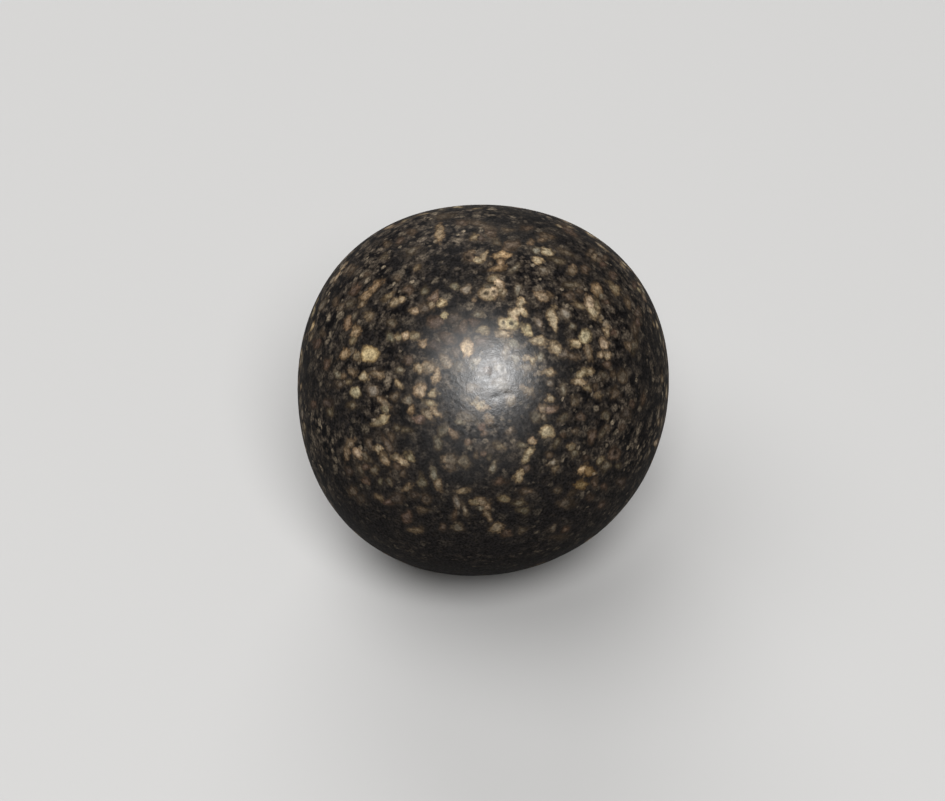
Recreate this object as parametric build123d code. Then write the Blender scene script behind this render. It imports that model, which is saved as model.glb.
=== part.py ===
from build123d import *

import os
from math import cos, pi, sin

# A hand-rolled clay marble: one solid ball of fired clay.
# It was rolled between the palms, so it is round about its rolling axis but not quite round along it.
# Its outline along that axis is set by five radii, read every 45 degrees from the upper end to the lower one.
# Frame: millimetres, +Z up, with the origin at the ball's centre, from which the five radii are read.

# Driving dimensions: the ball's radius at each station along its rolling axis
UPPER_END_RADIUS = 7.43
UPPER_SHOULDER_RADIUS = 7.22
WAIST_RADIUS = 7.50
LOWER_SHOULDER_RADIUS = 7.33
LOWER_END_RADIUS = 7.27

# How the rolling axis lies: its upper end points left, is turned back by one angle and raised by the other
AXIS_TURN_BACK_DEG = 35.0
AXIS_RISE_DEG = 31.0
UPRIGHT_DEG = 90.0

# Points of the outline's curve between one station and the next
POINTS_PER_STATION = 3


def series_terms(radii):
    """The terms of the cosine series that passes through radii spread evenly from one end to the other."""
    last = len(radii) - 1
    terms = []
    for order in range(last + 1):
        total = 0.0
        for station, radius in enumerate(radii):
            station_weight = 0.5 if station in (0, last) else 1.0
            total += station_weight * radius * cos(pi * order * station / last)
        order_weight = 0.5 if order in (0, last) else 1.0
        terms.append(order_weight * total * 2 / last)
    return terms


def half_outline():
    """The half section of the ball with its rolling axis upright: a smooth curve, closed along the axis."""
    radii = [
        UPPER_END_RADIUS,
        UPPER_SHOULDER_RADIUS,
        WAIST_RADIUS,
        LOWER_SHOULDER_RADIUS,
        LOWER_END_RADIUS,
    ]
    terms = series_terms(radii)
    spans = (len(radii) - 1) * POINTS_PER_STATION
    points = []
    for step in range(spans + 1):
        angle = pi * step / spans
        radius = sum(term * cos(order * angle) for order, term in enumerate(terms))
        points.append((radius * sin(angle), radius * cos(angle)))
    # The curve leaves and meets the axis square, so that both ends of the ball are round
    curve = Spline(*points, tangents=[(1, 0), (-1, 0)], tangent_scalars=[1, 1])
    axis_line = Line(points[-1], points[0])
    return make_face([curve, axis_line])


def marble():
    """The ball: the half outline turned about the upright axis, then laid over to the rolling axis."""
    section = Plane.XZ * half_outline()
    upright = revolve(section, Axis.Z)
    lean_left = Rot(Y=AXIS_RISE_DEG - UPRIGHT_DEG)
    turn_back = Rot(Z=-AXIS_TURN_BACK_DEG)
    return turn_back * lean_left * upright


os.makedirs("parts", exist_ok=True)
export_step(marble(), "parts/marble.step")
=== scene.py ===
import math
import random

import bpy
import numpy as np
from mathutils import Matrix, Vector, noise


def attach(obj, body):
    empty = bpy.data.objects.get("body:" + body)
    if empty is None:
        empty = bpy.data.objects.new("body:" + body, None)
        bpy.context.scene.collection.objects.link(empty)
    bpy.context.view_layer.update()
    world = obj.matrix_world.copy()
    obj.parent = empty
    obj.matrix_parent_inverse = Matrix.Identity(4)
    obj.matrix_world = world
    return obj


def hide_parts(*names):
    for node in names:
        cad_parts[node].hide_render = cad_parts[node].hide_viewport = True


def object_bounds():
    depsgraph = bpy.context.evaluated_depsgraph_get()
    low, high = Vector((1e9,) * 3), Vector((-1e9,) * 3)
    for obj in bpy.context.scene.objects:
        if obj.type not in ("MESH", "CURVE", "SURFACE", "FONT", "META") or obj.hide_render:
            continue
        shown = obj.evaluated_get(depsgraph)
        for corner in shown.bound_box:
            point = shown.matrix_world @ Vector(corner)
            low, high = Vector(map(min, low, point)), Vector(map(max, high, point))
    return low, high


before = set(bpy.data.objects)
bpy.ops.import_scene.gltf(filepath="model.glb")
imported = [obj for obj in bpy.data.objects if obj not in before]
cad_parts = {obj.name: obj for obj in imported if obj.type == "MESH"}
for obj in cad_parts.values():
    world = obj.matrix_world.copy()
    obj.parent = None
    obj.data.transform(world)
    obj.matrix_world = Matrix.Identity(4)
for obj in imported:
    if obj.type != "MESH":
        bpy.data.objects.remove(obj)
cad_low, cad_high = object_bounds()

MM = 0.001
MEAN_RADIUS = (cad_high.z - cad_low.z) / 2

# The photo's frame and its view of the ball
IMAGE_WIDTH_PX = 945
IMAGE_HEIGHT_PX = 801
BALL_CENTRE_PX = (481.7, 388.7)
FOCAL_LENGTH_PX = 3485.0
PX_PER_MM = 25.47
VIEW_ELEVATION_DEG = 44.0
SENSOR_WIDTH_MM = 36.0
CLIP_START = 10 * MM

# The ball's mesh: squares along each edge of the cube that is rounded into the ball
SQUARES_PER_EDGE = 128

# The ball's form: the degrees of the products it is fitted with, and the rounds that find it on a sight line
FORM_DEGREES = (3, 4)
FORM_ROUNDS = 4

# The flat map of the cube's six sides
MAP_COLUMNS = 3
MAP_ROWS = 2
MAP_MARGIN_SHARE = 0.01

# Relief of the hand-rolled surface
WAVE_LENGTH_MM = 2.4
WAVE_HEIGHT_MM = 0.012
GRAIN_LENGTH_MM = 0.45
GRAIN_HEIGHT_MM = 0.003

# Pits and creases read from the photo.
# Each row has the centre, the length and the width in pixels, the turn in degrees from level, and the depth
# in millimetres.
PHOTO_DENTS = [
    (487, 371, 16, 11, 80, 0.035),
    (496, 397, 13, 6, 25, 0.020),
    (508, 394, 15, 6, 0, 0.020),
]

# How steeply the depth of a pit or crease falls from its middle to its edge
DENT_FALL = 2.0

# Tints of the flecks, in linear light
IVORY = (0.390, 0.314, 0.200)
STRAW = (0.400, 0.298, 0.174)
WHEAT = (0.230, 0.166, 0.101)
CREAM = (0.305, 0.244, 0.160)
PALE = (0.184, 0.160, 0.122)
TAN = (0.182, 0.142, 0.095)
DUN = (0.104, 0.085, 0.062)
PINK = (0.178, 0.130, 0.098)
PEACH = (0.370, 0.262, 0.170)
BROWN = (0.090, 0.066, 0.049)
UMBER = (0.060, 0.047, 0.037)
OCHRE = (0.170, 0.113, 0.056)

# Flecks read from the photo, grouped by tint.
# Each row has the centre, the length and the width in pixels, and the turn in degrees from level.
# Many flecks near the ball's edge have dimmer tints than flecks of the same look nearer the middle: partly
# their own colour and partly painted shade where the light falls off.
PHOTO_FLECKS = {
    IVORY: [
        (517, 312, 17, 9, 20), (538, 260, 9, 8, -20), (441, 304, 8, 7, 80), (533, 360, 7, 6, 45),
        (547, 432, 13, 11, -5), (524, 313, 8, 8, 0), (506, 328, 14, 6, 0), (521, 304, 11, 7, 70),
        (514, 318, 10, 8, 45), (526, 330, 15, 8, -60), (445, 316, 7, 7, 0),
    ],
    WHEAT: [
        (376, 286, 13, 7, 35), (366, 296, 12, 6, 50), (440, 233, 15, 8, 90), (348, 323, 12, 7, 85),
        (356, 331, 11, 8, 75), (501, 262, 10, 6, 80), (345, 354, 11, 8, 30), (597, 290, 12, 9, -70),
        (497, 268, 14, 4, 12), (412, 409, 9, 6, 80),
    ],
    STRAW: [
        (370, 354, 17, 14, -10), (501, 255, 12, 6, 5), (583, 469, 10, 6, 60),
    ],
    CREAM: [
        (420, 390, 14, 11, 65), (590, 303, 15, 9, -75), (436, 376, 12, 7, 75), (538, 341, 16, 8, -10),
        (430, 403, 12, 5, -20), (435, 411, 14, 6, -50), (414, 311, 7, 5, -30), (547, 252, 11, 7, -5),
        (484, 256, 9, 5, 60), (478, 260, 9, 6, -30), (593, 312, 18, 8, -48), (553, 318, 20, 8, -86),
        (356, 392, 10, 9, 70), (405, 335, 9, 8, 60), (585, 337, 13, 11, 60), (575, 344, 12, 8, 10),
        (556, 349, 13, 9, -40), (604, 343, 11, 7, -60), (607, 355, 8, 8, 0), (583, 373, 14, 7, 35),
        (579, 382, 10, 6, -5), (549, 373, 10, 6, 0), (385, 419, 11, 8, 45), (358, 453, 11, 8, -45),
        (378, 449, 10, 8, -35), (402, 461, 12, 7, -28), (423, 343, 8, 7, 0), (526, 358, 8, 5, 0),
        (551, 399, 9, 7, 0), (590, 371, 7, 6, 0), (519, 476, 12, 7, 70), (500, 285, 14, 7, -50),
        (490, 298, 7, 4, 20), (532, 441, 7, 6, 0), (432, 394, 8, 8, 0), (463, 491, 9, 4, 5),
        (528, 455, 15, 6, 60), (399, 384, 8, 4, -50), (418, 368, 10, 7, -40), (481, 404, 10, 9, 0),
        (474, 300, 3, 3, 0), (485, 407, 8, 8, 0), (503, 333, 13, 8, -10), (594, 474, 4, 4, 0),
        (364, 377, 8, 7, 0), (607, 332, 9, 5, -80), (601, 355, 5, 6, 0), (397, 301, 12, 6, 25),
    ],
    PALE: [
        (478, 315, 8, 5, 0), (515, 268, 10, 5, 50), (536, 250, 8, 7, 0), (543, 270, 8, 5, -45),
        (518, 289, 9, 6, 80), (466, 290, 9, 8, 0), (455, 287, 7, 5, 0), (539, 324, 9, 5, -60),
        (515, 345, 9, 6, -30), (506, 350, 8, 6, 80), (516, 357, 9, 8, -50), (541, 357, 9, 6, 80),
        (527, 367, 9, 6, 0), (573, 326, 6, 6, -60), (337, 374, 7, 4, -50), (373, 391, 11, 10, 30),
        (391, 338, 9, 5, -60), (400, 370, 7, 5, -30), (408, 400, 9, 7, -60), (550, 383, 5, 5, 0),
        (563, 389, 8, 5, -80), (464, 508, 9, 3, -70), (493, 468, 9, 5, 70), (553, 463, 8, 5, 10),
        (544, 418, 6, 4, -50), (510, 431, 7, 5, 50), (523, 445, 7, 4, 0), (553, 528, 5, 3, 50),
        (480, 508, 5, 4, 0), (380, 482, 4, 3, 80), (474, 361, 10, 8, 0), (472, 387, 9, 7, 0),
        (601, 295, 6, 3, -60), (354, 317, 5, 2, 60), (434, 475, 12, 5, -75), (457, 502, 13, 5, -75),
        (566, 314, 12, 7, -66), (461, 422, 9, 5, 0),
    ],
    TAN: [
        (496, 528, 13, 9, 10), (475, 502, 8, 7, 0), (395, 457, 9, 6, -20), (482, 330, 12, 8, 0),
        (388, 297, 9, 4, 40), (362, 303, 7, 5, 50), (417, 268, 6, 4, 45), (474, 237, 8, 6, 20),
        (472, 252, 6, 4, 0), (493, 279, 10, 5, 10), (503, 293, 8, 6, 60), (543, 296, 17, 9, -15),
        (431, 305, 8, 7, 0), (594, 257, 8, 6, 80), (614, 288, 14, 7, -45), (579, 305, 11, 5, -30),
        (628, 303, 9, 4, -75), (353, 340, 8, 4, 60), (357, 356, 9, 7, 80), (344, 376, 5, 4, 40),
        (352, 372, 9, 5, -30), (384, 403, 15, 6, -45), (400, 337, 8, 6, 0), (415, 336, 10, 6, 0),
        (446, 361, 13, 9, -50), (511, 400, 10, 10, 0), (527, 391, 12, 8, -40), (476, 402, 10, 8, 0),
        (588, 352, 14, 6, -75), (378, 422, 12, 6, 15), (385, 408, 8, 8, 0), (350, 444, 12, 7, 55),
        (384, 457, 19, 6, -60), (407, 488, 10, 5, 20), (380, 498, 7, 4, -40), (453, 433, 10, 5, -35),
        (446, 459, 8, 7, 0), (438, 485, 11, 7, -65), (483, 502, 11, 7, -15), (488, 420, 11, 7, -70),
        (499, 446, 10, 5, -20), (543, 408, 10, 8, 0), (416, 530, 10, 5, 0), (571, 447, 7, 6, 0),
        (600, 461, 8, 6, 60), (347, 454, 11, 6, 80), (369, 315, 9, 7, 75), (629, 346, 9, 5, -60),
        (488, 507, 7, 4, -50), (488, 515, 10, 5, -65), (504, 499, 8, 5, -20), (598, 396, 7, 6, 0),
        (377, 374, 13, 7, -10), (410, 457, 10, 8, -40), (349, 382, 5, 4, 0), (428, 368, 13, 11, 0),
        (531, 242, 6, 4, 25), (541, 240, 5, 3, 0), (500, 291, 10, 7, 80), (588, 388, 6, 5, 0),
        (596, 305, 12, 5, -75), (428, 415, 12, 6, -50), (555, 469, 7, 5, 70), (572, 269, 9, 7, 80),
    ],
    DUN: [
        (622, 377, 12, 9, -80), (459, 367, 10, 8, 0), (392, 322, 8, 8, 0), (570, 285, 14, 6, 0),
        (579, 291, 5, 4, 0), (425, 308, 9, 8, 0), (374, 471, 8, 7, 0), (443, 431, 12, 8, 60),
        (438, 443, 12, 8, -70), (450, 459, 16, 9, 0), (464, 462, 12, 11, 0), (424, 510, 8, 4, 0),
        (468, 417, 20, 10, -10), (407, 430, 8, 5, 0), (397, 428, 6, 6, 0), (392, 437, 8, 5, -70),
        (604, 376, 7, 6, 0), (634, 346, 12, 6, 80), (340, 384, 8, 5, 0), (536, 417, 10, 10, 0),
        (525, 491, 9, 4, 0), (519, 503, 12, 7, 0), (523, 530, 6, 4, 20), (458, 527, 10, 8, -30),
        (606, 428, 5, 4, 0), (602, 434, 9, 4, 60), (580, 417, 7, 5, 0), (557, 490, 5, 4, 0),
        (489, 457, 5, 4, 80), (476, 455, 5, 4, 80), (330, 412, 7, 5, 85), (638, 312, 8, 6, 85),
        (605, 467, 9, 7, 60), (618, 466, 4, 4, 0), (396, 278, 5, 4, 0), (403, 473, 5, 4, 80),
        (443, 527, 5, 4, 80), (370, 445, 8, 4, -70), (497, 242, 7, 4, -40), (571, 356, 14, 6, -10),
        (563, 354, 9, 8, 0), (567, 253, 13, 3, -25), (575, 431, 5, 4, 0), (574, 401, 8, 7, 60),
        (575, 453, 7, 6, 0), (598, 259, 7, 4, -40), (384, 257, 6, 4, 30), (556, 443, 9, 4, 55),
        (341, 308, 7, 5, 40), (425, 291, 7, 5, 60), (388, 446, 15, 5, -62), (412, 251, 11, 5, 30),
        (350, 304, 10, 6, 45), (556, 260, 12, 4, -15), (563, 418, 9, 5, 30), (499, 367, 9, 9, 0),
        (501, 384, 16, 12, -30), (365, 456, 11, 5, -45), (522, 510, 10, 6, -10), (422, 481, 11, 7, -70),
        (591, 252, 8, 5, 60), (606, 415, 10, 7, -65), (482, 225, 18, 4, -20), (490, 286, 12, 6, 10),
        (395, 396, 10, 6, 40), (389, 481, 6, 6, 0), (361, 471, 9, 3, -60), (352, 405, 7, 6, 0),
        (352, 270, 9, 6, 45), (490, 264, 4, 4, 0), (508, 230, 8, 3, 0), (526, 468, 6, 5, 0),
    ],
    PINK: [
        (434, 297, 9, 6, 60), (549, 409, 12, 6, 0), (420, 420, 12, 6, -10), (485, 433, 5, 4, 0),
        (469, 442, 5, 4, 0), (483, 454, 5, 4, 0), (483, 426, 7, 5, 80),
    ],
    PEACH: [
        (467, 347, 17, 12, 88),
    ],
    BROWN: [
        (436, 322, 14, 10, 0), (447, 338, 14, 9, -20), (462, 327, 12, 9, 50), (475, 322, 10, 8, 0),
        (482, 342, 12, 8, 0), (457, 352, 10, 8, 0), (388, 244, 6, 5, 0), (354, 290, 12, 7, 60),
        (491, 234, 9, 8, 0), (512, 245, 15, 9, 20), (526, 228, 9, 4, 0), (606, 302, 7, 5, 0),
        (613, 276, 7, 6, 80), (603, 265, 5, 4, 0), (606, 258, 4, 4, 0), (408, 360, 8, 8, 0),
        (317, 343, 8, 6, 85), (313, 405, 6, 5, 85), (613, 333, 7, 6, 0), (606, 364, 7, 6, 0),
        (615, 393, 12, 8, 85), (613, 374, 6, 5, 80), (635, 330, 18, 5, -86), (632, 404, 6, 6, 0),
        (398, 466, 10, 5, -10), (450, 467, 10, 7, 0), (500, 482, 10, 6, 10), (595, 480, 10, 6, 85),
        (623, 428, 5, 5, 0), (604, 487, 5, 5, 0), (602, 505, 6, 4, 40), (488, 371, 11, 7, -30),
        (568, 230, 15, 5, -40), (366, 467, 6, 5, 0), (546, 236, 10, 6, -10), (335, 303, 8, 5, 70),
        (455, 514, 8, 3, 75), (637, 322, 8, 5, 70), (592, 437, 10, 7, 80), (389, 502, 8, 4, 0),
        (400, 241, 6, 4, 45), (366, 275, 6, 3, 30), (562, 435, 4, 3, 0), (643, 400, 8, 3, 80),
        (635, 285, 6, 4, 80), (569, 296, 8, 8, 0), (322, 333, 5, 5, 0), (595, 387, 5, 4, 80),
        (327, 364, 9, 6, 85), (408, 290, 8, 7, 0), (585, 269, 8, 6, -60), (407, 517, 10, 9, 90),
        (366, 480, 8, 7, 80), (353, 491, 9, 9, 0), (412, 232, 9, 5, 20), (565, 530, 6, 4, 40),
        (549, 456, 6, 5, 80), (506, 533, 8, 5, 0), (462, 223, 10, 5, 0),
    ],
    UMBER: [
        (452, 318, 12, 9, 30), (590, 497, 6, 5, 0), (328, 403, 8, 8, 0), (434, 345, 12, 9, 0),
        (397, 499, 12, 9, 0), (567, 503, 14, 9, 0), (360, 498, 10, 6, -30), (414, 494, 9, 6, -40),
        (349, 471, 7, 7, 0), (573, 492, 9, 4, 40), (558, 537, 9, 3, 0), (480, 238, 6, 4, 0),
        (626, 413, 10, 8, 80), (586, 457, 5, 4, 0), (621, 482, 7, 7, 0), (427, 499, 9, 9, 0),
        (446, 216, 14, 5, 10),
    ],
    OCHRE: [
        (589, 471, 11, 9, -20), (581, 485, 12, 8, 15),
    ],
}

# Flecks with a dark core, read the same way
PHOTO_RINGS = {
    IVORY: [(511, 323, 14, 13, 0), (504, 323, 12, 11, 0)],
    CREAM: [(486, 293, 14, 12, 0), (494, 292, 11, 12, 0)],
    PALE: [(473, 365, 7, 6, 0)],
    BROWN: [(614, 453, 13, 11, 80), (469, 257, 10, 9, 0)],
}

# Where a dark core lies, as a share of the way from a fleck's centre to its outline.
# The second share lies in no fleck.
RING_CORE_SHARE = 0.05
NO_CORE_SHARE = -9.0

# Flecks of the sides that the photo doesn't show: clumps of the same kinds
RANDOM_SEED = 7
UNSEEN_CLUMPS = 540
CLUMP_FLECKS = 4
CLUMP_SPREAD_SHARE = 0.055

# Where those flecks start, as the cosine of the angle between the surface and the photo's line of sight.
# They start further round where the surface faces the photo's lower edge by more than the start share: the
# band so left without flecks keeps the lower edge dark, as painted shade.
SEEN_LIMIT_SHARE = 0.34
LOW_START_SHARE = 0.40
LOW_SEEN_LIMIT_SHARE = 0.15

# How far from its centre a fleck, a pit or a crease may reach
FLECK_REACH_MM = 4.0

# How much a fleck may narrow towards one end, and how far it may bend, as shares of its half width.
# A bend moves the middle one way by the middle share of itself, and the ends the other way by the rest.
TAPER_SHARE = 0.35
BEND_SHARE = 0.25
BEND_MIDDLE_SHARE = 0.5

# Flecks of this half width are the wildest.
# Wider ones narrow and bend less, and the outlines of all others are calmer.
WILDEST_HALF_WIDTH_MM = 0.15

# How much a fleck's tint may differ from its group's, and how much it may fade from one end to the other
TONE_SHARE = 0.035
FADE_SHARE = 0.40

# Painted shade low on the ball's front: a dark patch with few specks and no unseen flecks stands for the
# shade there.
# Its numbers: the angle of its middle from the line of sight, where its edge starts and is complete as
# cosines of the angle from its middle, how much of the specks shows outside and inside it, how far its edge
# wanders, how near to its middle an unseen fleck may lie, and the tint of bare dark clay, which fills the
# patch and also the gaps between clumps
PAINTED_SHADE_TILT_DEG = 72.0
PAINTED_SHADE_SPAN_SHARES = (0.44, 0.98)
PAINTED_SHADE_COVER_SHARES = (1.0, 0.22)
PAINTED_SHADE_WANDER_SHARE = 0.16
PAINTED_SHADE_LIMIT_SHARE = 0.95
BARE_CLAY_AND_SHADE_TINT = (0.0105, 0.0095, 0.0092)

# The ground between the flecks: its colours by the level of its mottle
GROUND_PER_MM = 3.0
GROUND_NOISE = {"Detail": 3.0, "Roughness": 0.5}
GROUND_STOPS = [
    (0.36, (0.0030, 0.0028, 0.0031)),
    (0.48, (0.0078, 0.0069, 0.0067)),
    (0.57, (0.031, 0.025, 0.020)),
    (0.68, (0.090, 0.072, 0.053)),
]

# Small specks, one to a cell: the cells per millimetre of each layer, and the specks' sizes, edges and tints
SPECK_LAYERS_PER_MM = (4.6, 2.3)
SPECK_SIZE_SHARES = (0.16, 0.46)
SPECK_EDGE_SHARES = (-0.20, 0.16)
SPECK_WAVES_PER_CELL = 2
SPECK_NOISE = {"Detail": 1.0, "Roughness": 0.5}
SPECK_WANDER_SHARE = 0.60
SPECK_CHANCE_SHARES = (0.42, 0.58)
SPECK_STOPS = [
    (0.00, (0.016, 0.013, 0.0107)),
    (0.45, (0.039, 0.031, 0.024)),
    (0.75, (0.083, 0.066, 0.049)),
    (1.00, (0.190, 0.153, 0.108)),
]

# Clumps of the specks: where they start and are complete, and how much shows outside and inside them
CLUMPS_PER_MM = 0.55
CLUMP_NOISE = {"Detail": 1.0, "Roughness": 0.5}
CLUMP_SPAN_SHARES = (0.36, 0.62)
CLUMP_COVER_SHARES = (0.30, 1.0)

# The flecks' edges, in millimetres inside the outline: a soft halo, a dim rim and the bright heart.
# A dark core is measured from where it lies.
HALO_SPAN_MM = (-0.20, 0.0)
HALO_COVER_SHARES = (0.0, 0.30)
HALO_TINT = (0.048, 0.036, 0.026)
RIM_SPAN_MM = (-0.09, 0.03)
RIM_SHADE_SHARES = (0.50, 0.44, 0.38)
HEART_SPAN_MM = (-0.03, 0.11)
CORE_SPAN_MM = (0.02, 0.13)
CORE_SHADE_SHARES = (0.20, 1.0)

# How the flecks' outlines wander, and how their light varies
OUTLINE_PER_MM = 3.4
OUTLINE_NOISE = {"Detail": 2.0, "Roughness": 0.7, "W": 1.5}
OUTLINE_SPAN_SHARES = (0.30, 0.70)
OUTLINE_SHIFT_MM = (0.06, -0.08)
SHADE_PER_MM = 4.6
SHADE_NOISE = {"Detail": 2.5, "Roughness": 0.65}
SHADE_SPAN_SHARES = (0.32, 0.68)
SHADE_SHARES = (0.62, 1.24)

# Fine grain of the clay's colour, on the ground and on the flecks
GRAIN_PER_MM = 11.0
GRAIN_NOISE = {"Detail": 2.0, "Roughness": 0.6}
GRAIN_SPAN_SHARES = (0.30, 0.70)
GROUND_GRAIN_SHARES = (0.45, 1.8)
FLECK_GRAIN_SHARES = (0.66, 1.32)

# Gloss: an uneven satin, whose specular level falls through these stops as the surface turns away
PATCHES_PER_MM = 6.0
PATCH_NOISE = {"Detail": 4.0, "Roughness": 0.65}
PATCH_SPAN_SHARES = (0.30, 0.70)
ROUGHNESS_SPAN = (0.31, 0.45)
FACING_BLEND = 0.5
SHINE_STOPS = [
    (0.00, 1.00), (0.04, 0.88), (0.09, 0.30), (0.15, 0.06),
    (0.25, 0.012), (0.60, 0.004), (1.00, 0.0),
]

# Fine bumps that break up the highlight
BUMPS_PER_MM = 7.0
BUMP_NOISE = {"Detail": 3.0, "Roughness": 0.6}
BUMP_HEIGHT_MM = 0.011
BUMP_STRENGTH_SHARE = 1.0

# Material nodes: a noise's mean level, a colour's last channel, and the Mix node's sockets for colours
NOISE_MEAN = 0.5
OPAQUE = 1.0
MIX_INPUTS = (0, 6, 7)
MIX_OUTPUT = 2

# Studio, in metres and watts
SOFTBOXES = {
    "key": {"direction": (0.078, -0.574, 0.815), "distance": 0.40, "size": 0.20, "power": 1.50},
    "top": {"direction": (-0.36, 0.02, 0.93), "distance": 0.50, "size": 0.45, "power": 1.32},
    "back": {"direction": (-0.10, 0.85, 0.40), "distance": 0.50, "size": 0.40, "power": 1.70},
}
WORLD_COLOUR = (1.0, 1.0, 1.0)
WORLD_LEVEL = 0.10
FLOOR_SIZE = 4.0
FLOOR_COLOUR = (0.47, 0.466, 0.460)
FLOOR_ROUGHNESS = 0.9
FLOOR_SPECULAR = 0.1


# The camera

def view_axes():
    """The photo's right, up and back directions in the object's frame."""
    rise = math.radians(VIEW_ELEVATION_DEG)
    right = Vector((1.0, 0.0, 0.0))
    up = Vector((0.0, math.sin(rise), math.cos(rise)))
    back = Vector((0.0, -math.cos(rise), math.sin(rise)))
    return right, up, back


def camera_place():
    """Where the camera stands, so that it sees the ball where the photo shows it, with no shift."""
    right, up, back = view_axes()
    distance = FOCAL_LENGTH_PX / PX_PER_MM * MM
    aside = (BALL_CENTRE_PX[0] - IMAGE_WIDTH_PX / 2) / PX_PER_MM * MM
    above = (IMAGE_HEIGHT_PX / 2 - BALL_CENTRE_PX[1]) / PX_PER_MM * MM
    return back * distance - right * aside - up * above


def add_camera():
    """The photo's camera."""
    data = bpy.data.cameras.new("photo_camera")
    data.sensor_width = SENSOR_WIDTH_MM
    data.lens = FOCAL_LENGTH_PX / IMAGE_WIDTH_PX * SENSOR_WIDTH_MM
    data.clip_start = CLIP_START
    camera = bpy.data.objects.new("photo_camera", data)
    turn = Matrix(view_axes()).transposed()
    camera.matrix_world = Matrix.Translation(camera_place()) @ turn.to_4x4()
    bpy.context.scene.collection.objects.link(camera)
    bpy.context.scene.camera = camera


# The ball's form

def form_terms(directions):
    """Every product of x, y and z of the form's degrees, for each direction. Their sums are smooth forms."""
    x, y, z = directions.T
    columns = []
    for degree in FORM_DEGREES:
        for a in range(degree + 1):
            for b in range(degree + 1 - a):
                columns.append(x**a * y**b * z ** (degree - a - b))
    return np.stack(columns, axis=1)


def fit_form(node):
    """The weights of form_terms that give the CAD node's radius in every direction."""
    mesh = node.data
    places = np.empty(len(mesh.vertices) * 3)
    mesh.vertices.foreach_get("co", places)
    places = places.reshape(-1, 3)
    radii = np.linalg.norm(places, axis=1)
    weights, *_ = np.linalg.lstsq(form_terms(places / radii[:, None]), radii, rcond=None)
    return weights


def form_radius(direction, weights):
    """The form's radius in one direction."""
    return float((form_terms(np.array([direction])) @ weights)[0])


def cube_grid():
    """Directions of a cube's grid rounded to a sphere, its squares, and their corners on a flat map."""
    n = SQUARES_PER_EDGE
    steps = np.arange(n + 1)
    across, along = np.meshgrid(steps, steps, indexing="ij")
    inset = MAP_MARGIN_SHARE + (1 - 2 * MAP_MARGIN_SHARE) * np.stack([across, along], axis=-1) / n
    sides, maps = [], []
    for axis in range(3):
        for level in (0, n):
            side = np.empty((n + 1, n + 1, 3), int)
            side[..., axis] = level
            side[..., (axis + 1) % 3] = across if level else along
            side[..., (axis + 2) % 3] = along if level else across
            corner = np.array([len(sides) % MAP_COLUMNS, len(sides) // MAP_COLUMNS])
            maps.append((corner + inset) / (MAP_COLUMNS, MAP_ROWS))
            sides.append(side.reshape(-1, 3))
    points, index = np.unique(np.concatenate(sides), axis=0, return_inverse=True)
    index = index.reshape(len(sides), n + 1, n + 1)
    directions = np.tan((points / n * 2 - 1) * math.pi / 4)
    directions /= np.linalg.norm(directions, axis=1)[:, None]
    return directions, squares_of(index), squares_of(np.array(maps))


def squares_of(grid):
    """The four corners of each square of a stack of grids, in turning order."""
    corners = [grid[:, :-1, :-1], grid[:, 1:, :-1], grid[:, 1:, 1:], grid[:, :-1, 1:]]
    return np.stack(corners, axis=3).reshape(-1, 4, *grid.shape[3:])


def relief(directions):
    """The height in metres of the waves and grain that rolling by hand leaves."""
    heights = np.empty(len(directions))
    for i, direction in enumerate(directions):
        place_mm = Vector(direction) * (MEAN_RADIUS / MM)
        wave = noise.noise(place_mm / WAVE_LENGTH_MM) * WAVE_HEIGHT_MM
        grain = noise.noise(place_mm / GRAIN_LENGTH_MM) * GRAIN_HEIGHT_MM
        heights[i] = (wave + grain) * MM
    return heights


def dent_depths(places, weights):
    """The depth in metres of the photo's pits and creases at each place of the ball."""
    right, up, _ = view_axes()
    depths = np.zeros(len(places))
    for x, y, length, width, turn_deg, depth_mm in PHOTO_DENTS:
        centre = on_ball((x, y), weights)
        along, across, _ = fleck_axes(right, up, math.radians(turn_deg), (length, width))
        apart = places - np.array(centre)
        reach = np.hypot(apart @ along, apart @ across)
        near = (apart * apart).sum(axis=1) < (FLECK_REACH_MM * MM) ** 2
        depths += near * depth_mm * MM * np.exp(-DENT_FALL * reach**2)
    return depths


def ball_mesh(weights):
    """The ball as one closed mesh of near-equal squares on the fitted form, with its relief and flat map."""
    directions, squares, flat = cube_grid()
    smooth = form_terms(directions) @ weights
    radii = smooth + relief(directions) - dent_depths(directions * smooth[:, None], weights)
    places = directions * radii[:, None]
    mesh = bpy.data.meshes.new("marble_skin")
    mesh.from_pydata(places.tolist(), [], squares.tolist())
    mesh.shade_smooth()
    mesh.uv_layers.new(name="OFBake").data.foreach_set("uv", flat.ravel())
    return mesh


# Flecks: each is its centre, the two axes that measure it, its half width, its tint and its core's share

def painted_shade_direction():
    """The direction of the middle of the patch of painted shade."""
    _, up, back = view_axes()
    tilt = math.radians(PAINTED_SHADE_TILT_DEG)
    return back * math.cos(tilt) - up * math.sin(tilt)


def on_ball(pixel, weights):
    """The point of the ball that shows at a pixel of the photo."""
    right, up, back = view_axes()
    eye = camera_place()
    aside = (pixel[0] - IMAGE_WIDTH_PX / 2) / FOCAL_LENGTH_PX
    above = (IMAGE_HEIGHT_PX / 2 - pixel[1]) / FOCAL_LENGTH_PX
    sight = (right * aside + up * above - back).normalized()
    nearest = -eye.dot(sight)
    radius = MEAN_RADIUS
    for _ in range(FORM_ROUNDS):
        half_chord = math.sqrt(max(radius**2 - eye.dot(eye) + nearest**2, 0.0))
        place = eye + sight * (nearest - half_chord)
        radius = form_radius(place.normalized(), weights)
    return place


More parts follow.
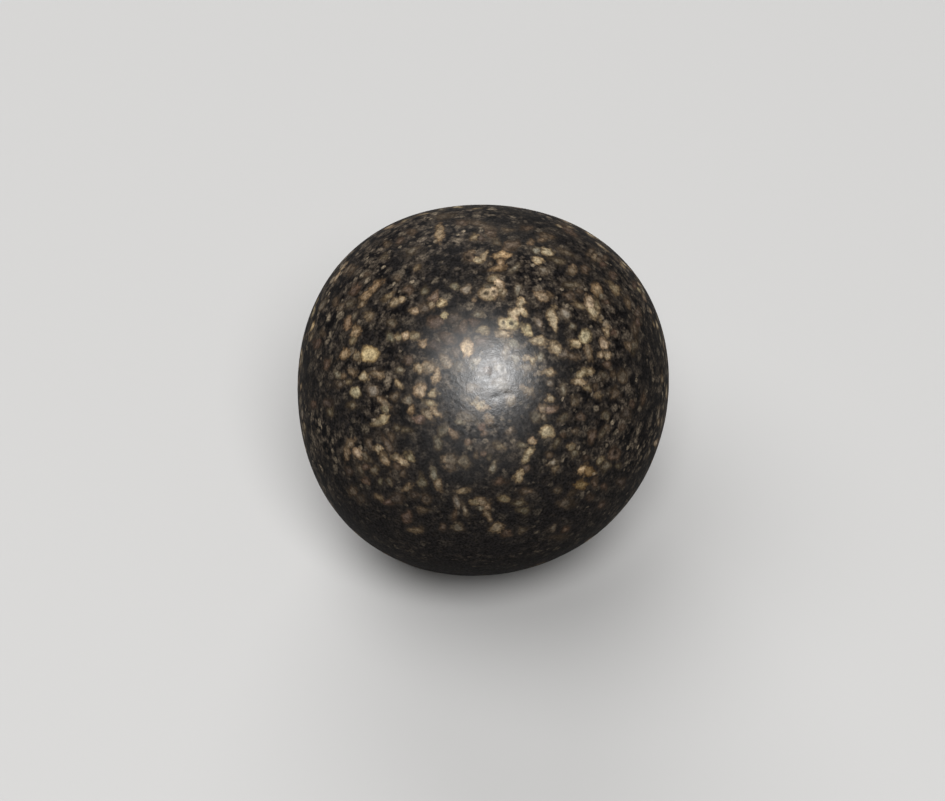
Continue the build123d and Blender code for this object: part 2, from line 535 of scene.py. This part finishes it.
def fleck_axes(level, steep, turn, size_px):
    """The two axes that measure a fleck turned from level towards steep, and its half width."""
    along = level * math.cos(turn) + steep * math.sin(turn)
    across = steep * math.cos(turn) - level * math.sin(turn)
    half_length, half_width = (side / 2 / PX_PER_MM * MM for side in size_px)
    return along / half_length, across / half_width, half_width


def photo_flecks(weights):
    """The flecks read from the photo, measured in its picture plane."""
    right, up, _ = view_axes()
    flecks = []
    for table, core_share in ((PHOTO_FLECKS, NO_CORE_SHARE), (PHOTO_RINGS, RING_CORE_SHARE)):
        for tint, rows in table.items():
            for x, y, length, width, turn_deg in rows:
                centre = on_ball((x, y), weights)
                axes = fleck_axes(right, up, math.radians(turn_deg), (length, width))
                flecks.append((centre, *axes, tint, core_share))
    return flecks


def unseen_flecks(weights):
    """Clumps of flecks like the photo's, at random places and turns on the sides that it doesn't show."""
    draw = random.Random(RANDOM_SEED)
    _, up, back = view_axes()
    painted_shade_middle = painted_shade_direction()
    kinds = [(tint, row[2:4]) for tint, rows in PHOTO_FLECKS.items() for row in rows]
    flecks = []
    for _ in range(UNSEEN_CLUMPS):
        middle = Vector([draw.gauss(0, 1) for _ in range(3)]).normalized()
        for _ in range(draw.randint(1, CLUMP_FLECKS)):
            nudge = Vector([draw.gauss(0, CLUMP_SPREAD_SHARE) for _ in range(3)])
            outward = (middle + nudge).normalized()
            tint, size_px = draw.choice(kinds)
            turn = draw.uniform(0, math.pi)
            low_share = outward.dot(-up)
            seen_limit = LOW_SEEN_LIMIT_SHARE if low_share > LOW_START_SHARE else SEEN_LIMIT_SHARE
            # No unseen fleck in the painted shade: neither on its patch nor in the band along the lower edge
            if outward.dot(back) > seen_limit or outward.dot(painted_shade_middle) > PAINTED_SHADE_LIMIT_SHARE:
                continue
            centre = outward * form_radius(outward, weights)
            level = outward.orthogonal().normalized()
            steep = outward.cross(level)
            flecks.append((centre, *fleck_axes(level, steep, turn, size_px), tint, NO_CORE_SHARE))
    return flecks


def nearest_flecks(places, centres, alongs, acrosses, half_widths):
    """The number of the fleck whose outline is nearest to each place."""
    least = np.full(len(places), np.inf)
    nearest = np.zeros(len(places), int)
    for i in range(len(centres)):
        apart = places - centres[i]
        reach = np.hypot(apart @ alongs[i], apart @ acrosses[i])
        gap = (reach - 1) * half_widths[i]
        gap[(apart * apart).sum(axis=1) > (FLECK_REACH_MM * MM) ** 2] = np.inf
        closer = gap < least
        least[closer] = gap[closer]
        nearest[closer] = i
    return nearest


def write_flecks(mesh, flecks):
    """Gives each face its nearest fleck: its corners' places in that fleck's own measure, and its tint."""
    places = np.empty(len(mesh.vertices) * 3)
    mesh.vertices.foreach_get("co", places)
    places = places.reshape(-1, 3)
    corners = np.empty(len(mesh.loops), int)
    mesh.loops.foreach_get("vertex_index", corners)
    corner_places = places[corners].reshape(-1, 4, 3)
    centres, alongs, acrosses, half_widths, tints, cores = (np.array(column) for column in zip(*flecks))
    nearest = nearest_flecks(corner_places.mean(axis=1), centres, alongs, acrosses, half_widths)
    apart = corner_places - centres[nearest][:, None]
    u = np.einsum("fcx,fx->fc", apart, alongs[nearest])
    v = np.einsum("fcx,fx->fc", apart, acrosses[nearest])
    draw = np.random.default_rng(RANDOM_SEED)
    taper, bend, fade = draw.uniform(-1, 1, (3, len(flecks), 1))[:, nearest]
    tones = 1 + TONE_SHARE * draw.uniform(-1, 1, (len(flecks), 3))
    end = np.clip(u, -1, 1)
    half_width_mm = np.broadcast_to(half_widths[nearest][:, None] / MM, u.shape)
    wild = np.minimum(WILDEST_HALF_WIDTH_MM / half_width_mm, 1)
    v = v + wild * BEND_SHARE * bend * (end**2 - BEND_MIDDLE_SHARE)
    v = v / (1 + wild * TAPER_SHARE * taper * end)
    place = mesh.attributes.new("fleck_place", "FLOAT_VECTOR", "CORNER")
    place.data.foreach_set("vector", np.stack([u, v, half_width_mm], axis=-1).ravel())
    fading = 1 + FADE_SHARE * fade * end
    colours = np.empty((*u.shape, 4))
    colours[..., :3] = (tints * tones)[nearest][:, None] * fading[..., None]
    colours[..., 3] = cores[nearest][:, None]
    tint = mesh.attributes.new("fleck_tint", "FLOAT_COLOR", "CORNER")
    tint.data.foreach_set("color", colours.ravel())


# Material nodes

def add_node(tree, kind, inputs=(), **settings):
    """Adds a node with its settings, and sets or links its inputs, given by place or by name."""
    made = tree.nodes.new("ShaderNode" + kind)
    for name, value in settings.items():
        setattr(made, name, value)
    pairs = inputs.items() if isinstance(inputs, dict) else enumerate(inputs)
    for name, value in pairs:
        if isinstance(value, bpy.types.NodeSocket):
            tree.links.new(value, made.inputs[name])
        else:
            made.inputs[name].default_value = value
    return made


def calculate(tree, operation, *values):
    """The result of one sum."""
    return add_node(tree, "Math", values, operation=operation).outputs[0]


def vector_sum(tree, operation, *values):
    """The result of one sum of vectors."""
    return add_node(tree, "VectorMath", values, operation=operation).outputs[0]


def scaled(tree, vector, scale):
    """A vector or colour times a number."""
    return add_node(tree, "VectorMath", {0: vector, "Scale": scale}, operation="SCALE").outputs[0]


def noise_of(tree, place, per_mm, settings):
    """The level of a noise texture. Another W in the settings gives another noise of the same kind."""
    inputs = {"Vector": place, "W": 0.0, "Scale": per_mm, **settings}
    return add_node(tree, "TexNoise", inputs, noise_dimensions="4D").outputs[0]


def step(tree, value, span, results=(0.0, 1.0)):
    """A smooth change from the first result to the second while a value crosses a span."""
    low, high = span
    first, second = results
    inputs = {"Value": value, "From Min": low, "From Max": high, "To Min": first, "To Max": second}
    return add_node(tree, "MapRange", inputs, interpolation_type="SMOOTHSTEP").outputs[0]


def mixed(tree, share, first, second):
    """The first colour with a share of the second."""
    sockets = bpy.types.NodeSocket
    colours = [colour if isinstance(colour, sockets) else (*colour, OPAQUE) for colour in (first, second)]
    inputs = dict(zip(MIX_INPUTS, (share, *colours)))
    return add_node(tree, "Mix", inputs, data_type="RGBA").outputs[MIX_OUTPUT]


def ramp(tree, value, stops):
    """A colour ramp through (place, colour) stops."""
    made = add_node(tree, "ValToRGB", [value])
    elements = made.color_ramp.elements
    while len(elements) < len(stops):
        elements.new(1.0)
    for element, (place, colour) in zip(elements, stops):
        element.position = place
        element.color = (*colour, OPAQUE)
    return made.outputs[0]


# The fired clay

def painted_shade_share(tree, place):
    """How near a place lies to the middle of the patch of painted shade: the cosine of the angle between
    them.
    """
    towards = tuple(painted_shade_direction() * MM / MEAN_RADIUS)
    return add_node(tree, "VectorMath", [place, towards], operation="DOT_PRODUCT").outputs["Value"]


def speck_cover(tree, place):
    """How much of the specks shows: all in the clumps, less between them, and little on the patch of painted
    shade.
    """
    clumps = noise_of(tree, place, CLUMPS_PER_MM, CLUMP_NOISE)
    # Painted shade: the low front patch, whose edge wanders with the clumps
    edge = calculate(tree, "MULTIPLY_ADD", clumps, PAINTED_SHADE_WANDER_SHARE, painted_shade_share(tree, place))
    clad = step(tree, edge, PAINTED_SHADE_SPAN_SHARES, PAINTED_SHADE_COVER_SHARES)
    clumped = step(tree, clumps, CLUMP_SPAN_SHARES, CLUMP_COVER_SHARES)
    return calculate(tree, "MULTIPLY", clad, clumped)


def with_specks(tree, place, cover, colour, per_mm):
    """Adds a layer of small soft specks of many sizes and tints."""
    cells = add_node(tree, "TexVoronoi", {"Vector": place, "Scale": per_mm})
    chance, tint, size = add_node(tree, "SeparateColor", [cells.outputs["Color"]]).outputs
    waves = noise_of(tree, place, SPECK_WAVES_PER_CELL * per_mm, SPECK_NOISE)
    wander = calculate(tree, "SUBTRACT", waves, NOISE_MEAN)
    distance = calculate(tree, "MULTIPLY_ADD", wander, SPECK_WANDER_SHARE, cells.outputs["Distance"])
    inside = calculate(tree, "SUBTRACT", step(tree, size, (0.0, 1.0), SPECK_SIZE_SHARES), distance)
    chosen = step(tree, chance, SPECK_CHANCE_SHARES)
    mask = calculate(tree, "MULTIPLY", step(tree, inside, SPECK_EDGE_SHARES), chosen)
    mask = calculate(tree, "MULTIPLY", mask, cover)
    return mixed(tree, mask, colour, ramp(tree, tint, SPECK_STOPS))


def outline_shift(tree, place, half_width):
    """How far a fleck's outline wanders in or out, in millimetres."""
    outline = noise_of(tree, place, OUTLINE_PER_MM, OUTLINE_NOISE)
    width_share = calculate(tree, "DIVIDE", half_width, WILDEST_HALF_WIDTH_MM)
    wild = calculate(tree, "MINIMUM", width_share, calculate(tree, "DIVIDE", 1.0, width_share))
    return calculate(tree, "MULTIPLY", wild, step(tree, outline, OUTLINE_SPAN_SHARES, OUTLINE_SHIFT_MM))


def with_flecks(tree, place, colour):
    """Adds the placed flecks: each a soft brown halo, a dim rim and a bright heart, with any dark core."""
    fleck = add_node(tree, "Attribute", attribute_name="fleck_place")
    tint = add_node(tree, "Attribute", attribute_name="fleck_tint")
    u, v, half_width = add_node(tree, "SeparateXYZ", [fleck.outputs["Vector"]]).outputs
    reach = calculate(tree, "SQRT", calculate(tree, "MULTIPLY_ADD", u, u, calculate(tree, "MULTIPLY", v, v)))
    shift = outline_shift(tree, place, half_width)
    inside = calculate(tree, "MULTIPLY_ADD", calculate(tree, "SUBTRACT", 1.0, reach), half_width, shift)
    core = calculate(tree, "MULTIPLY", calculate(tree, "SUBTRACT", 1.0, tint.outputs["Alpha"]), half_width)
    from_core = calculate(tree, "ABSOLUTE", calculate(tree, "SUBTRACT", inside, core))
    kept = step(tree, from_core, CORE_SPAN_MM, CORE_SHADE_SHARES)
    shade = step(tree, noise_of(tree, place, SHADE_PER_MM, SHADE_NOISE), SHADE_SPAN_SHARES, SHADE_SHARES)
    shade = calculate(tree, "MULTIPLY", kept, shade)
    lit = with_grain(tree, place, scaled(tree, tint.outputs["Color"], shade), FLECK_GRAIN_SHARES)
    dim = vector_sum(tree, "MULTIPLY", lit, RIM_SHADE_SHARES)
    colour = mixed(tree, step(tree, inside, HALO_SPAN_MM, HALO_COVER_SHARES), colour, HALO_TINT)
    colour = mixed(tree, step(tree, inside, RIM_SPAN_MM), colour, dim)
    return mixed(tree, step(tree, inside, HEART_SPAN_MM), colour, lit)


def with_grain(tree, place, colour, shares):
    """Lightens and darkens a colour by the clay's fine grain, between two shares of itself."""
    grain = noise_of(tree, place, GRAIN_PER_MM, GRAIN_NOISE)
    return scaled(tree, colour, step(tree, grain, GRAIN_SPAN_SHARES, shares))


def set_gloss(tree, shader, place):
    """An uneven satin, whose shine falls as the surface turns away."""
    patches = noise_of(tree, place, PATCHES_PER_MM, PATCH_NOISE)
    tree.links.new(step(tree, patches, PATCH_SPAN_SHARES, ROUGHNESS_SPAN), shader.inputs["Roughness"])
    facing = add_node(tree, "LayerWeight", {"Blend": FACING_BLEND}).outputs["Facing"]
    shine = ramp(tree, facing, [(share, (level, level, level)) for share, level in SHINE_STOPS])
    tree.links.new(shine, shader.inputs["Specular IOR Level"])


def set_bump(tree, shader, place):
    """Fine unevenness that breaks up the highlight."""
    bumps = noise_of(tree, place, BUMPS_PER_MM, BUMP_NOISE)
    inputs = {"Height": bumps, "Distance": BUMP_HEIGHT_MM * MM, "Strength": BUMP_STRENGTH_SHARE}
    tree.links.new(add_node(tree, "Bump", inputs).outputs[0], shader.inputs["Normal"])


def fired_clay():
    """Dark fired clay: mottled brown-black, with specks and flecks of lighter clay, burnished to a satin."""
    material = bpy.data.materials.new("fired_clay")
    material.use_nodes = True
    tree = material.node_tree
    shader = tree.nodes["Principled BSDF"]
    place = scaled(tree, add_node(tree, "TexCoord").outputs["Object"], 1 / MM)
    cover = speck_cover(tree, place)
    ground = ramp(tree, noise_of(tree, place, GROUND_PER_MM, GROUND_NOISE), GROUND_STOPS)
    # Bare dark clay shows where few specks do: in the gaps between clumps, and as painted shade on the low
    # front patch
    colour = mixed(tree, cover, BARE_CLAY_AND_SHADE_TINT, ground)
    for per_mm in SPECK_LAYERS_PER_MM:
        colour = with_specks(tree, place, cover, colour, per_mm)
    colour = with_flecks(tree, place, with_grain(tree, place, colour, GROUND_GRAIN_SHARES))
    tree.links.new(colour, shader.inputs["Base Color"])
    set_gloss(tree, shader, place)
    set_bump(tree, shader, place)
    return material


# The marble

def add_ball():
    """The marble: one piece on the CAD node's form, with the flecks of its clay."""
    weights = fit_form(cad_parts["marble"])
    mesh = ball_mesh(weights)
    write_flecks(mesh, photo_flecks(weights) + unseen_flecks(weights))
    mesh.materials.append(fired_clay())
    ball = bpy.data.objects.new("marble_skin", mesh)
    bpy.context.scene.collection.objects.link(ball)
    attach(ball, "root")
    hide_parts("marble")


# The studio

def pale_floor():
    """A matt pale floor."""
    material = bpy.data.materials.new("pale_floor")
    material.use_nodes = True
    shader = material.node_tree.nodes["Principled BSDF"]
    shader.inputs["Base Color"].default_value = (*FLOOR_COLOUR, OPAQUE)
    shader.inputs["Roughness"].default_value = FLOOR_ROUGHNESS
    shader.inputs["Specular IOR Level"].default_value = FLOOR_SPECULAR
    return material


def add_floor():
    """A plain pale floor under the ball's lowest point."""
    half = FLOOR_SIZE / 2
    corners = [(x, y, cad_low.z) for x, y in ((-half, -half), (half, -half), (half, half), (-half, half))]
    mesh = bpy.data.meshes.new("floor")
    mesh.from_pydata(corners, [], [(0, 1, 2, 3)])
    mesh.materials.append(pale_floor())
    floor = bpy.data.objects.new("floor", mesh)
    bpy.context.scene.collection.objects.link(floor)


def add_softbox(name, direction, distance, size, power):
    """A round softbox that shines on the ball from a direction."""
    data = bpy.data.lights.new(name, "AREA")
    data.shape = "DISK"
    data.size = size
    data.energy = power
    lamp = bpy.data.objects.new(name, data)
    towards = Vector(direction).normalized()
    lamp.location = towards * distance
    lamp.rotation_mode = "QUATERNION"
    lamp.rotation_quaternion = towards.to_track_quat("Z", "Y")
    bpy.context.scene.collection.objects.link(lamp)


def add_world():
    """Dim even light from all sides."""
    world = bpy.data.worlds.new("studio")
    world.use_nodes = True
    background = world.node_tree.nodes["Background"]
    background.inputs["Color"].default_value = (*WORLD_COLOUR, OPAQUE)
    background.inputs["Strength"].default_value = WORLD_LEVEL
    bpy.context.scene.world = world


add_camera()
add_ball()
add_floor()
for softbox, settings in SOFTBOXES.items():
    add_softbox(softbox, **settings)
add_world()
bpy.context.scene.view_settings.view_transform = "Standard"

bpy.context.view_layer.update()
